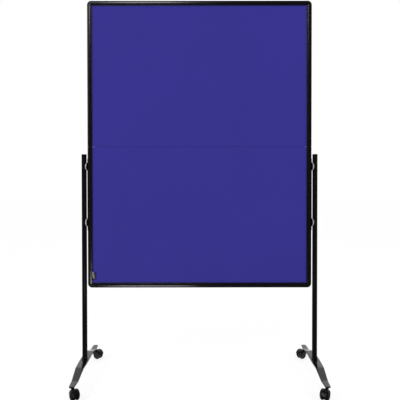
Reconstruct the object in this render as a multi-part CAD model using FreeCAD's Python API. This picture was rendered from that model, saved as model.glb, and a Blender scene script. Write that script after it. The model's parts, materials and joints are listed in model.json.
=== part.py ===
# Mobile pinboard: a felt board that folds in half, on two posts with arched feet and twin-wheel castors.
# Millimetres. +Z is up, +X is to the viewer's right, +Y points behind the board.
# The origin is on the floor, midway between the two posts and under the middle of the board.
import FreeCAD
import Part

import math
import os

Vector = FreeCAD.Vector
X_AXIS = Vector(1, 0, 0)
Y_AXIS = Vector(0, 1, 0)
Z_AXIS = Vector(0, 0, 1)
ORIGIN = Vector(0, 0, 0)

# Clearances
cut_overrun = 5.0            # how far every cutting tool runs past the face it cuts
seat_clearance = 0.1         # between pieces that are plugged together and do not move
running_clearance = 0.05     # round a pin or axle that turns
sliding_clearance = 0.3      # round a bar or lever that slides or swings between walls

# Board
board_width = 1200.0
board_bottom = 480.0
board_top = 2015.0
fold_height = 1236.0         # the line where the upper half folds back
fold_gap = 1.0               # gap between the two halves when the board stands open

# Frame rails: an extruded channel with a slot for the panel and a hollow chamber outside it
frame_depth = 24.0
rail_face = 23.0
rail_wall = 2.0
rail_outer_radius = 7.0
lip_run = 8.0                # width of the sloping lip beside the panel
lip_drop = 1.8               # how far that lip falls away
lip_radius = 1.2
lip_blend_radius = 15.0
slot_depth = 11.0
corner_relief = 0.6          # small round left open at the inner point of a corner piece
tongue_length = 28.0         # corner pieces and hinge fittings plug this far into the rails

# Panel: soft core, a batten at the free edge, felt on both sides
felt_thickness = 2.0
felt_pinch = 0.2             # how far the felt is pressed in under the rails' lips
core_thickness = 13.0
panel_insert = 9.5           # how far the panel reaches into the rail slot
batten_height = 22.0

# Fold hinges: cast fittings in the rail ends, with a pin behind the frame
hinge_offset = 5.0           # pin axis behind the rear face of the frame
hinge_pin_radius = 2.0
knuckle_radius = 4.5
hinge_flange = 3.0
lug_height = 14.0
lug_side_margin = 1.0
lug_width = 6.0

# Fold locks: a bar in each lower rail that slides up across the fold line
lock_bar_width = 5.0
lock_bar_depth = 8.0
lock_bar_length = 80.0
lock_travel = 40.0
lock_setback = 6.0           # the bar's top below the fold line when it is drawn back
lock_stud_radius = 2.5
lock_stud_rise = 12.0        # the thumb stud above the bar's lower end
lock_knob_radius = 5.5
lock_knob_height = 4.0

# Posts
post_radius = 13.5
post_wall = 1.5
post_offset = 20.0           # post axis outside the board's edge
post_top_drop = 39.0         # post's top below the fold line
cap_height = 4.0
cap_edge_radius = 1.5
cap_plug_length = 16.0
collar_radius = 16.2
collar_height = 14.0
collar_edge_radius = 2.4
foot_plug_length = 32.0

# Couplings between board and posts
coupling_drops = (105.0, 405.0)   # below the fold line
strip_thickness = 2.0
strip_depth = 10.0           # width of the mounting strip, front to back
strip_margin = 42.0          # the strip runs this far past the couplings
stud_radius = 4.0
stud_head_radius = 6.0
stud_head_thickness = 2.5
stud_head_setback = 2.0      # extra room for the flat stud head inside the round tube
washer_radius = 20.0
saddle_thickness = 2.4       # the bright oval plate that is bent round the tube
saddle_half_height = 22.0
saddle_half_width = 11.4
keyhole_rise = 16.0          # the wide part of the keyhole above its seat
nut_width = 9.6
nut_thickness = 5.0

# Feet: a bent plate, wide under the post and narrow over the castors
foot_thickness = 6.0
foot_half_length = 275.0
foot_crown_top = 92.5
pad_top = 66.0
crown_half_length = 113.0
pad_start = 208.0
bend_radius = 45.0
foot_crown_half_width = 24.5
foot_end_half_width = 13.5
taper_start = 60.0
taper_radius = 600.0
foot_corner_radius = 9.0
foot_bolt_radius = 5.0
foot_bolt_head_radius = 9.0
foot_bolt_head_height = 5.0
foot_bolt_length = 26.0      # length of the bolt above the foot's top face

# Castors
castor_inset = 26.0          # swivel axis in from the end of the foot
wheel_radius = 25.0
wheel_width = 13.0
wheel_gap = 16.0             # between the two wheels of a castor
wheel_edge_radius = 1.5      # at the inner face
wheel_dome_radius = 9.0      # the wide rounding towards the outer face
wheel_dish_radius = 14.0
wheel_dish_depth = 2.0
wheel_hub_radius = 8.0
axle_radius = 4.0
axle_blind_wall = 3.0        # wheel wall beyond the end of the axle
trail = 26.0                 # axle behind the swivel axis
web_clearance = 0.5
axle_boss_radius = 9.0
hood_gap = 1.2
hood_thickness = 2.5
hood_side_angle = 35.0       # degrees that the hood wraps round the wheels' domes
hood_front_angle = 178.0
hood_rear_angle = 12.0
socket_radius = 7.4
socket_bottom = 30.0
socket_gap = 0.4             # between the socket and the stem's flange
stem_radius = 5.0
stem_flange_radius = 8.0
stem_flange_height = 4.0
stem_end_gap = 4.0
castor_turn_front = 56.0     # degrees that the front castors stand turned
castor_turn_rear = 35.0      # degrees that the rear castors stand turned

# Castor locks, on the front pair
lever_pivot_radius = 2.0
lever_pivot_distance = 19.5  # pivot from the axle
lever_pivot_angle = 35.0     # degrees above level
lever_thickness = 8.0
lever_eye_radius = 4.5
lever_arm_width = 6.0
lever_notch_width = 15.0
pedal_gap = 1.9              # between the hood and the pedal's tread
pedal_thickness = 3.4
pedal_width = 18.0
pedal_length = 13.0

# Worked out from the sizes above
half_width = board_width / 2
half_depth = frame_depth / 2
inner_half_width = half_width - rail_face
inner_top = board_top - rail_face
inner_bottom = board_bottom + rail_face
panel_half = core_thickness / 2 + felt_thickness
slot_half = panel_half + seat_clearance
half_gap = fold_gap / 2
hinge_y = half_depth + hinge_offset
chamber_start = slot_depth + rail_wall
chamber_end = rail_face - rail_wall
chamber_middle = (chamber_start + chamber_end) / 2
post_x = half_width + post_offset
post_top = fold_height - post_top_drop
coupling_heights = [fold_height - drop for drop in coupling_drops]
post_inner_face = post_x - post_radius
stem_y = foot_half_length - castor_inset
pad_bottom = pad_top - foot_thickness
hood_inner = wheel_radius + hood_gap
hood_outer = hood_inner + hood_thickness
pedal_start = hood_outer + pedal_gap
pedal_end = pedal_start + pedal_thickness
web_half = wheel_gap / 2 - web_clearance
castor_half_width = wheel_gap / 2 + wheel_width
fold_rail_end = half_gap + hinge_flange
SIDES = {"left": -1, "right": 1}


def outline(corners):
    """Closed wire through (point, radius) corners, with a tangent arc at each corner that has a radius."""
    cut_points = []
    for index, (point, radius) in enumerate(corners):
        before = (corners[index - 1][0] - point).normalize()
        after = (corners[(index + 1) % len(corners)][0] - point).normalize()
        if radius == 0:
            cut_points.append((point, None, point))
            continue
        half_angle = before.getAngle(after) / 2
        reach = radius / math.tan(half_angle)
        bisector = (before + after).normalize()
        middle = point + bisector * (radius / math.sin(half_angle) - radius)
        cut_points.append((point + before * reach, middle, point + after * reach))
    edges = []
    for index, (start, middle, end) in enumerate(cut_points):
        if middle is not None:
            edges.append(Part.Arc(start, middle, end).toShape())
        following = cut_points[(index + 1) % len(cut_points)][0]
        edges.append(Part.LineSegment(end, following).toShape())
    return Part.Wire(edges)


def prism(corners, direction):
    return Part.Face(outline(corners)).extrude(direction)


def block(low, high):
    size = high - low
    return Part.makeBox(size.x, size.y, size.z, low)


def rod(radius, start, end):
    span = end - start
    return Part.makeCylinder(radius, span.Length, start, span)


def group(solids):
    return Part.makeCompound(solids)


def export(name, shape):
    shape.exportStep(os.path.join("parts", name + ".step"))
    print(name, len(shape.Solids), round(shape.Volume), shape.isValid())


# Frame rails

def section_corners(inner_edge, outward, points):
    """Turn (out, depth, radius) points of a rail's cross-section into corners in space."""
    return [(inner_edge + outward * out + Y_AXIS * depth, radius) for out, depth, radius in points]


def rail_outline_points(start=0):
    """The rail's outline from its lips at start, round the outer face, and into the panel slot."""
    lip_half = half_depth - lip_drop * (lip_run - start) / lip_run
    front = [(start, -slot_half, 0), (start, -lip_half, lip_radius), (lip_run, -half_depth, lip_blend_radius),
             (rail_face, -half_depth, rail_outer_radius)]
    back = [(out, -depth, radius) for out, depth, radius in reversed(front)]
    slot = [(slot_depth, slot_half, 0), (slot_depth, -slot_half, 0)]
    return front + back + slot


def chamber_points(clearance=0):
    depth = half_depth - rail_wall - clearance
    inner = chamber_start + clearance
    outer = chamber_end - clearance
    radius = rail_outer_radius - rail_wall
    return [(inner, -depth, 0), (outer, -depth, radius), (outer, depth, radius), (inner, depth, 0)]


def rail(inner_edge, outward, run):
    """A hollow rail: its cross-section at inner_edge, carried along run."""
    body = prism(section_corners(inner_edge, outward, rail_outline_points()), run)
    return body.cut(prism(section_corners(inner_edge, outward, chamber_points()), run))


def tongue(inner_edge, outward, run):
    return prism(section_corners(inner_edge, outward, chamber_points(seat_clearance)), run)


def corner_piece(inner_corner, side_out, end_out):
    """A quarter turn of the rail's outline, with a tongue for each of the two rails."""
    points = rail_outline_points(corner_relief)
    section = Part.Face(outline(section_corners(inner_corner, side_out, points)))
    turn = section.revolve(inner_corner, side_out.cross(end_out), 90)
    side_tongue = tongue(inner_corner, side_out, end_out * -tongue_length)
    end_tongue = tongue(inner_corner, end_out, side_out * -tongue_length)
    return turn.fuse([side_tongue, end_tongue]).removeSplitter()


def make_frame():
    halves = {"upper": (inner_top, Z_AXIS, fold_height + fold_rail_end),
              "lower": (inner_bottom, Z_AXIS * -1, fold_height - fold_rail_end)}
    end_names = {"upper": "top_rail", "lower": "bottom_rail"}
    for half, (end_height, end_out, fold_end) in halves.items():
        start = Vector(-inner_half_width, 0, end_height)
        export(end_names[half], rail(start, end_out, X_AXIS * (inner_half_width * 2)))
        for side, sign in SIDES.items():
            out = X_AXIS * sign
            inner_corner = Vector(sign * inner_half_width, 0, end_height)
            side_rail = rail(inner_corner, out, Z_AXIS * (fold_end - end_height))
            if half == "lower":
                side_rail = side_rail.cut(lower_rail_cuts(sign))
            export(half + "_side_rail_" + side, side_rail)
            export(half + "_corner_" + side, corner_piece(inner_corner, out, end_out))


def lower_rail_cuts(sign):
    """Stud holes in the outer wall, and the slot in the rear wall where the lock's thumb stud runs."""
    cuts = []
    for height in coupling_heights:
        inside = Vector(sign * (half_width - rail_wall - cut_overrun / 2), 0, height)
        cuts.append(rod(stud_radius + seat_clearance, inside, inside + X_AXIS * (sign * cut_overrun)))
    low, high = lock_stud_heights()
    middle = sign * (inner_half_width + chamber_middle)
    half = lock_stud_radius + sliding_clearance
    rounding_start = half_depth - rail_outer_radius
    cuts.append(block(Vector(middle - half, rounding_start, low - half),
                      Vector(middle + half, half_depth + cut_overrun, high + half)))
    return cuts


# Panel

def panel_sheet(fold_edge, end_edge, up, front, back):
    """A flat sheet of the panel between two depths, rounded at the frame's corners."""
    reach = inner_half_width + panel_insert
    tip = end_edge + up * panel_insert
    corners = [(Vector(-reach, front, fold_edge), 0), (Vector(reach, front, fold_edge), 0),
               (Vector(reach, front, tip), panel_insert), (Vector(-reach, front, tip), panel_insert)]
    return prism(corners, Y_AXIS * (back - front))


def felt_sheet(fold_edge, end_edge, up, way):
    """Felt on the core's front (way -1) or back (way 1): full thickness where it shows, pinched in the slot."""
    pinched = panel_half - felt_pinch
    sheet = panel_sheet(fold_edge, end_edge, up, way * core_thickness / 2, way * pinched)
    reach = inner_half_width - seat_clearance
    low, high = sorted((fold_edge, end_edge - up * seat_clearance))
    near, far = sorted((way * pinched, way * panel_half))
    return sheet.fuse(block(Vector(-reach, near, low), Vector(reach, far, high))).removeSplitter()


def make_panels():
    core_half = core_thickness / 2
    for half, up, end_edge in (("upper", 1, inner_top), ("lower", -1, inner_bottom)):
        edge = fold_height + up * half_gap
        batten_edge = edge + up * batten_height
        reach = inner_half_width + panel_insert
        export("panel_core_" + half, panel_sheet(batten_edge, end_edge, up, -core_half, core_half))
        low, high = sorted((edge, batten_edge))
        export("fold_batten_" + half, block(Vector(-reach, -core_half, low), Vector(reach, core_half, high)))
        for face, way in (("front", -1), ("back", 1)):
            export(face + "_felt_" + half, felt_sheet(edge, end_edge, up, way))


# Fold hinges and locks

def lock_bar_cross(clearance=0):
    half_out = lock_bar_width / 2 + clearance
    half_back = lock_bar_depth / 2 + clearance
    return half_out, half_back


def lock_stud_heights():
    """Heights of the thumb stud with the bar drawn back and with the bar across the fold."""
    drawn_back = fold_height - lock_setback - lock_bar_length + lock_stud_rise
    return drawn_back, drawn_back + lock_travel


def hinge_fitting(sign, up):
    """Fitting in a rail's fold end: a tongue, a flange over the rail's end, and knuckles behind the frame."""
    out = X_AXIS * sign
    edge = fold_height + up * half_gap
    inner_edge = Vector(sign * inner_half_width, 0, edge)
    away = Z_AXIS * up
    body = prism(section_corners(inner_edge, out, rail_outline_points()), away * hinge_flange)
    body = body.fuse(tongue(inner_edge + away * hinge_flange, out, away * tongue_length))
    half_out, half_back = lock_bar_cross(sliding_clearance)
    middle = sign * (inner_half_width + chamber_middle)
    reach = hinge_flange + tongue_length + cut_overrun
    low, high = sorted((edge - up * cut_overrun, edge + up * reach))
    channel = block(Vector(middle - half_out, -half_back, low), Vector(middle + half_out, half_back, high))
    body = body.cut(channel)
    lugs = [hinge_lug(sign, up, start, end) for start, end in knuckle_spans(up)]
    fitting = body.fuse(lugs).removeSplitter()
    span = [Vector(sign * (inner_half_width + along), hinge_y, fold_height) for along in (0, rail_face)]
    return fitting.cut(rod(hinge_pin_radius + running_clearance, span[0], span[1]))


def knuckle_spans(up):
    """The lower fitting has a knuckle at each side, and the upper one a knuckle between them."""
    first = lug_side_margin
    last = rail_face - lug_side_margin
    if up < 0:
        return [(first, first + lug_width), (last - lug_width, last)]
    return [(first + lug_width + sliding_clearance, last - lug_width - sliding_clearance)]


def hinge_lug(sign, up, start, end):
    """One knuckle with the web that joins it to the fitting's flange, clear of the rail's rear face."""
    edge = fold_height + up * half_gap
    near, far = sorted((sign * (inner_half_width + start), sign * (inner_half_width + end)))
    rear = hinge_y - sliding_clearance
    flange_low, flange_high = sorted((edge, edge + up * hinge_flange))
    root = block(Vector(near, slot_half + seat_clearance, flange_low), Vector(far, rear, flange_high))
    web_low, web_high = sorted((edge, edge + up * lug_height))
    web = block(Vector(near, half_depth + sliding_clearance, web_low), Vector(far, rear, web_high))
    knuckle = rod(knuckle_radius, Vector(near, hinge_y, fold_height), Vector(far, hinge_y, fold_height))
    return root.fuse([web, knuckle])


def hinge_pin(sign):
    ends = [Vector(sign * (inner_half_width + along), hinge_y, fold_height)
            for along in (lug_side_margin, rail_face - lug_side_margin)]
    return rod(hinge_pin_radius, ends[0], ends[1])


def lock_bar(sign):
    half_out, half_back = lock_bar_cross()
    middle = sign * (inner_half_width + chamber_middle)
    top = fold_height - lock_setback
    bar = block(Vector(middle - half_out, -half_back, top - lock_bar_length),
                Vector(middle + half_out, half_back, top))
    stud_height = lock_stud_heights()[0]
    knob_start = half_depth + sliding_clearance
    knob_end = knob_start + lock_knob_height
    stud = rod(lock_stud_radius, Vector(middle, 0, stud_height), Vector(middle, knob_end, stud_height))
    knob = rod(lock_knob_radius, Vector(middle, knob_start, stud_height), Vector(middle, knob_end, stud_height))
    return bar.fuse([stud, knob]).removeSplitter()


def make_fold():
    for side, sign in SIDES.items():
        export("upper_hinge_fitting_" + side, hinge_fitting(sign, 1))
        export("lower_hinge_fitting_" + side, hinge_fitting(sign, -1))
        export("fold_lock_" + side, lock_bar(sign))
    export("hinge_pins", group([hinge_pin(sign) for sign in SIDES.values()]))


# Posts and their couplings to the board

def post_tube(sign):
    bottom = Vector(sign * post_x, 0, foot_crown_top)
    top = Vector(sign * post_x, 0, post_top - cap_height)
    tube = rod(post_radius, bottom, top).cut(rod(post_radius - post_wall, bottom, top))
    return tube.cut([keyhole(sign, height) for height in coupling_heights])


def keyhole(sign, height):
    """Slot in the tube's inner wall: the stud's head goes in above and its shank drops to the seat."""
    start = sign * (post_inner_face - cut_overrun)
    end = sign * (post_x - post_radius / 2)
    narrow = stud_radius + seat_clearance
    low, high = sorted((start, end))
    slot = block(Vector(low, -narrow, height), Vector(high, narrow, height + keyhole_rise))
    seat = rod(narrow, Vector(start, 0, height), Vector(end, 0, height))
    mouth_radius = stud_head_radius + sliding_clearance
    mouth_height = height + keyhole_rise
    mouth = rod(mouth_radius, Vector(start, 0, mouth_height), Vector(end, 0, mouth_height))
    return slot.fuse([seat, mouth])


def post_cap(sign):
    base = Vector(sign * post_x, 0, post_top - cap_height)
    disc = rod(post_radius, base, base + Z_AXIS * cap_height)
    disc = disc.makeFillet(cap_edge_radius, top_edges(disc))
    plug = rod(post_radius - post_wall - seat_clearance, base, base - Z_AXIS * cap_plug_length)
    return disc.fuse(plug).removeSplitter()


def top_edges(shape):
    """The closed edges that lie in the highest plane of a turned shape."""
    top = shape.BoundBox.ZMax
    flat = [edge for edge in shape.Edges if edge.isClosed() and edge.BoundBox.ZLength < edge.BoundBox.XLength]
    highest = max(edge.BoundBox.ZMin for edge in flat)
    return [edge for edge in flat if edge.BoundBox.ZMin >= highest and top >= highest]


def post_collar(sign):
    base = Vector(sign * post_x, 0, foot_crown_top)
    top = base + Z_AXIS * collar_height
    body = rod(collar_radius, base, top)
    body = body.makeFillet(collar_edge_radius, top_edges(body))
    return body.cut(rod(post_radius + seat_clearance, base, top + Z_AXIS * cut_overrun))


def post_plug(sign):
    base = Vector(sign * post_x, 0, foot_crown_top)
    top = base + Z_AXIS * foot_plug_length
    return rod(post_radius - post_wall - seat_clearance, base, top).cut(
        rod(foot_bolt_radius + running_clearance, base, top))


def foot_bolt(sign):
    under = Vector(sign * post_x, 0, foot_crown_top - foot_thickness)
    head = rod(foot_bolt_head_radius, under - Z_AXIS * foot_bolt_head_height, under)
    shank = rod(foot_bolt_radius, under, under + Z_AXIS * (foot_thickness + foot_bolt_length))
    return head.fuse(shank).removeSplitter()


def coupling_stations():
    """Distances from the middle of the board to the washer, the saddle's crown and the stud's head."""
    washer = half_width + strip_thickness
    saddle = post_inner_face - seat_clearance - saddle_thickness
    head = post_inner_face + post_wall + stud_head_setback + seat_clearance
    return washer, saddle, head


def mounting_strip(sign):
    low, high = sorted((sign * half_width, sign * (half_width + strip_thickness)))
    bottom = min(coupling_heights) - strip_margin
    top = max(coupling_heights) + strip_margin
    strip = block(Vector(low, -strip_depth / 2, bottom), Vector(high, strip_depth / 2, top))
    holes = [rod(stud_radius + seat_clearance, Vector(low - cut_overrun, 0, height),
                 Vector(high + cut_overrun, 0, height)) for height in coupling_heights]
    return strip.cut(holes)


def coupling_rod(sign, height, radius, start, end):
    return rod(radius, Vector(sign * start, 0, height), Vector(sign * end, 0, height))


def coupling_stud(sign, height):
    head = coupling_stations()[-1]
    inner_end = half_width - rail_wall - nut_thickness
    shank = coupling_rod(sign, height, stud_radius, inner_end, head)
    knob = coupling_rod(sign, height, stud_head_radius, head, head + stud_head_thickness)
    return shank.fuse(knob).removeSplitter()


def coupling_washer(sign, height):
    washer, saddle, head = coupling_stations()
    disc = coupling_rod(sign, height, washer_radius, washer, saddle - seat_clearance)
    return disc.cut(coupling_rod(sign, height, stud_radius + seat_clearance, washer, saddle))


def coupling_saddle(sign, height):
    """An oval plate bent round the tube's inner side, with the stud's hole."""
    saddle, head = coupling_stations()[1:]
    half_height = saddle_half_height + cut_overrun
    low, high = (Vector(sign * post_x, 0, height + way * half_height) for way in (-1, 1))
    inner_radius = post_radius + seat_clearance
    shell = rod(inner_radius + saddle_thickness, low, high).cut(rod(inner_radius, low, high))
    start = Vector(sign * (saddle - cut_overrun), 0, height)
    oval = Part.Ellipse(start + Z_AXIS * saddle_half_height, start + Y_AXIS * saddle_half_width, start)
    cutter = Part.Face(Part.Wire(oval.toShape())).extrude(X_AXIS * (sign * (post_x - saddle + cut_overrun)))
    return shell.common(cutter).cut(coupling_rod(sign, height, stud_radius + seat_clearance, saddle, head))


def coupling_nut(sign, height):
    outer = half_width - rail_wall
    low, high = sorted((sign * (outer - nut_thickness), sign * outer))
    half = nut_width / 2
    body = block(Vector(low, -half, height - half), Vector(high, half, height + half))
    return body.cut(coupling_rod(sign, height, stud_radius + running_clearance, outer - nut_thickness, outer))


def make_posts():
    for side, sign in SIDES.items():
        export("post_" + side, post_tube(sign))
        export("post_cap_" + side, post_cap(sign))
        export("post_collar_" + side, post_collar(sign))
        export("mounting_strip_" + side, mounting_strip(sign))
    for name, make in (("post_plugs", post_plug), ("foot_bolts", foot_bolt)):
        export(name, group([make(sign) for sign in SIDES.values()]))
    couplings = (("coupling_studs", coupling_stud), ("coupling_washers", coupling_washer),
                 ("coupling_saddles", coupling_saddle), ("coupling_nuts", coupling_nut))
    for name, make in couplings:
        export(name, group([make(sign, height) for sign in SIDES.values() for height in coupling_heights]))


# Feet

def foot_profile():
    """The bent plate seen from the side: top and bottom lines stay one thickness apart round the bends."""
    rise = foot_crown_top - pad_top
    slope = math.atan2(rise, pad_start - crown_half_length)
    half = foot_thickness / 2
    shift = half * math.tan(slope / 2)
    top = [(foot_half_length, pad_top, 0), (pad_start + shift, pad_top, bend_radius - half),
           (crown_half_length + shift, foot_crown_top, bend_radius + half)]
    bottom = [(crown_half_length - shift, foot_crown_top - foot_thickness, bend_radius - half),
              (pad_start - shift, pad_bottom, bend_radius + half), (foot_half_length, pad_bottom, 0)]
    mirrored_top = [(-y, z, radius) for y, z, radius in reversed(top)]
    mirrored_bottom = [(-y, z, radius) for y, z, radius in reversed(bottom)]
    return top + mirrored_top + mirrored_bottom + bottom


def foot_plan():
    """The plate seen from above: parallel under the post, then drawn in to the narrow ends."""
    quarter = [(foot_crown_half_width, taper_start, taper_radius),
               (foot_end_half_width, foot_half_length, foot_corner_radius)]
    left_rear = [(-x, y, radius) for x, y, radius in reversed(quarter)]
    rear = quarter + left_rear
    return rear + [(-x, -y, radius) for x, y, radius in rear]


def make_feet():
    for side, sign in SIDES.items():
        middle = sign * post_x
        start = middle - foot_crown_half_width - cut_overrun
        profile = [(Vector(start, y, z), radius) for y, z, radius in foot_profile()]
        plate = prism(profile, X_AXIS * ((foot_crown_half_width + cut_overrun) * 2))
        plan = [(Vector(middle + x, y, 0), radius) for x, y, radius in foot_plan()]
        foot = plate.common(prism(plan, Z_AXIS * (foot_crown_top + cut_overrun)))
        top = Vector(middle, 0, foot_crown_top + cut_overrun)
        holes = [rod(foot_bolt_radius + seat_clearance, Vector(middle, 0, 0), top)]
        for end in (-1, 1):
            floor = Vector(middle, end * stem_y, 0)
            holes.append(rod(stem_radius, floor, floor + Z_AXIS * (pad_top + cut_overrun)))
        export("foot_" + side, foot.cut(holes))


# Castors, made at the origin with the swivel axis on Z and the axle behind it along +X

def castor_stem():
    flange = rod(stem_flange_radius, Z_AXIS * (pad_bottom - stem_flange_height), Z_AXIS * pad_bottom)
    return flange.fuse(rod(stem_radius, Z_AXIS * (socket_bottom + stem_end_gap), Z_AXIS * pad_top)).removeSplitter()


def across(radius, half_length, x, z):
    """A rod parallel to the axle, centred between the wheels."""
    return rod(radius, Vector(x, -half_length, z), Vector(x, half_length, z))


def radial(distance, angle, sideways=0):
    """A point in the plane between the wheels, by its distance and angle from the axle."""
    turn = math.radians(angle)
    x = trail + distance * math.cos(turn) - sideways * math.sin(turn)
    return Vector(x, 0, wheel_radius + distance * math.sin(turn) + sideways * math.cos(turn))


def radial_block(start, end, half_breadth, half_thickness):
    """A bar that points away from the axle at the lever's angle."""
    corners = [radial(start, lever_pivot_angle, -half_breadth), radial(end, lever_pivot_angle, -half_breadth),
               radial(end, lever_pivot_angle, half_breadth), radial(start, lever_pivot_angle, half_breadth)]
    offset = Y_AXIS * half_thickness
    return prism([(corner - offset, 0) for corner in corners], offset * 2)


def hood_rim(radius, angle, way):
    """A point of the hood's section: at that angle round the dome of the wheel on side way, in the level plane."""
    turn = math.radians(angle)
    dome_radius_start = wheel_radius - wheel_dome_radius
    along = castor_half_width - wheel_dome_radius + radius * math.sin(turn)
    return Vector(trail + dome_radius_start + radius * math.cos(turn), way * along, wheel_radius)


def hood_line(radius, way):
    """One surface of the hood's section, from the side -way over both treads to the side way."""
    points = [hood_rim(radius, hood_side_angle * share, side * way)
              for side, share in ((-1, 1), (-1, 1 / 2), (-1, 0), (1, 0), (1, 1 / 2), (1, 1))]
    return [Part.Arc(*points[:3]).toShape(), Part.LineSegment(*points[2:4]).toShape(),
            Part.Arc(*points[3:]).toShape()], points[0], points[-1]


def hood():
    """A curved cover that follows both wheels' treads and domes, from its rear ray to its front ray."""
    outer, outer_start, outer_end = hood_line(wheel_dome_radius + hood_gap + hood_thickness, 1)
    inner, inner_start, inner_end = hood_line(wheel_dome_radius + hood_gap, -1)
    edges = outer + [Part.LineSegment(outer_end, inner_start).toShape()]
    edges += inner + [Part.LineSegment(inner_end, outer_start).toShape()]
    section = Part.Face(Part.Wire(edges))
    centre = radial(0, 0)
    section.rotate(centre, Y_AXIS, -hood_rear_angle)
    return section.revolve(centre, Y_AXIS, hood_rear_angle - hood_front_angle)


def castor_housing(with_lock):
    socket_top = pad_bottom - stem_flange_height - socket_gap
    low = Vector(0, -web_half, 0)
    front = -socket_radius
    arm_top = wheel_radius + hood_inner * math.sin(math.radians(hood_front_angle / 2))
    corners = [Vector(front, 0, socket_bottom), Vector(trail, 0, wheel_radius - axle_boss_radius),
               Vector(trail + axle_boss_radius, 0, wheel_radius), Vector(trail, 0, arm_top),
               Vector(socket_radius, 0, arm_top - hood_thickness), Vector(front, 0, arm_top - hood_thickness)]
    web = prism([(corner + low, 0) for corner in corners], Y_AXIS * (web_half * 2))
    socket = rod(socket_radius, Z_AXIS * socket_bottom, Z_AXIS * socket_top)
    boss = across(axle_boss_radius, web_half, trail, wheel_radius)
    pieces = [socket, boss, hood()]
    if with_lock:
        pieces.append(radial_block(0, hood_inner, lever_eye_radius, web_half))
    body = web.fuse(pieces).removeSplitter()
    cuts = [rod(stem_radius + running_clearance, Z_AXIS * (socket_bottom + stem_end_gap - socket_gap),
                Z_AXIS * (socket_top + cut_overrun)),
            across(axle_radius + running_clearance, web_half + cut_overrun, trail, wheel_radius)]
    if with_lock:
        slot_half_thickness = lever_thickness / 2 + sliding_clearance
        slot_start = lever_pivot_distance - lever_eye_radius - sliding_clearance
        cuts.append(radial_block(slot_start, pedal_end, lever_notch_width / 2, slot_half_thickness))
    body = body.cut(cuts)
    if with_lock:
        pivot = radial(lever_pivot_distance, lever_pivot_angle)
        body = body.fuse(across(lever_pivot_radius, web_half, pivot.x, pivot.z)).removeSplitter()
    return body


def castor_axle():
    return across(axle_radius, castor_half_width - axle_blind_wall - web_clearance, trail, wheel_radius)


def castor_wheel(end):
    """A turned wheel: a domed outer side, a dish in its outer face round a raised hub, and a blind bore."""
    inner = end * wheel_gap / 2
    outer = end * castor_half_width
    inward = -end
    dish = outer + inward * wheel_dish_depth
    corners = [(0, inner, 0), (wheel_radius, inner, wheel_edge_radius), (wheel_radius, outer, wheel_dome_radius),
               (wheel_dish_radius, outer, 0), (wheel_dish_radius - wheel_dish_depth, dish, 0),
               (wheel_hub_radius + wheel_dish_depth, dish, 0), (wheel_hub_radius, outer, 0), (0, outer, 0)]
    profile = [(Vector(trail + radius, along, wheel_radius), fillet) for radius, along, fillet in corners]
    centre = Vector(trail, 0, wheel_radius)
    wheel = Part.Face(outline(profile)).revolve(centre, Y_AXIS, 360)
    bore_end = outer + inward * axle_blind_wall
    start = Vector(trail, inner + inward * cut_overrun, wheel_radius)
    return wheel.cut(rod(axle_radius + running_clearance, start, Vector(trail, bore_end, wheel_radius)))


def castor_lever():
    """The lock's pedal: an eye on the pivot, an arm out through the hood, and a wide tread on its end."""
    pivot = radial(lever_pivot_distance, lever_pivot_angle)
    half = lever_thickness / 2
    eye = across(lever_eye_radius - sliding_clearance, half, pivot.x, pivot.z)
    arm = radial_block(lever_pivot_distance, pedal_end, lever_arm_width / 2, half)
    pedal = radial_block(pedal_start, pedal_end, pedal_length / 2, pedal_width / 2)
    body = eye.fuse([arm, pedal]).removeSplitter()
    return body.cut(across(lever_pivot_radius + running_clearance, half, pivot.x, pivot.z))


def castor_places():
    """Name, swivel position and turn of each castor, and whether it has a lock."""
    places = []
    for end_name, end, turn, with_lock in (("front", -1, castor_turn_front, True),
                                           ("rear", 1, castor_turn_rear, False)):
        for side, sign in SIDES.items():
            angle = -turn if sign < 0 else turn - 180
            places.append((end_name + "_" + side, Vector(sign * post_x, end * stem_y, 0), angle, with_lock))
    return places


def placed(shape, position, angle):
    shape = shape.copy()
    shape.rotate(ORIGIN, Z_AXIS, angle)
    shape.translate(position)
    return shape


def make_castors():
    stems = []
    for name, position, angle, with_lock in castor_places():
        stems.append(placed(castor_stem(), position, angle))
        pieces = {"castor_housing_": castor_housing(with_lock), "castor_axle_": castor_axle(),
                  "castor_wheel_a_": castor_wheel(-1), "castor_wheel_b_": castor_wheel(1)}
        if with_lock:
            pieces["castor_lever_"] = castor_lever()
        for prefix, shape in pieces.items():
            export(prefix + name, placed(shape, position, angle))
    export("castor_stems", group(stems))


os.makedirs("parts", exist_ok=True)
make_frame()
make_panels()
make_fold()
make_posts()
make_feet()
make_castors()
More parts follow.
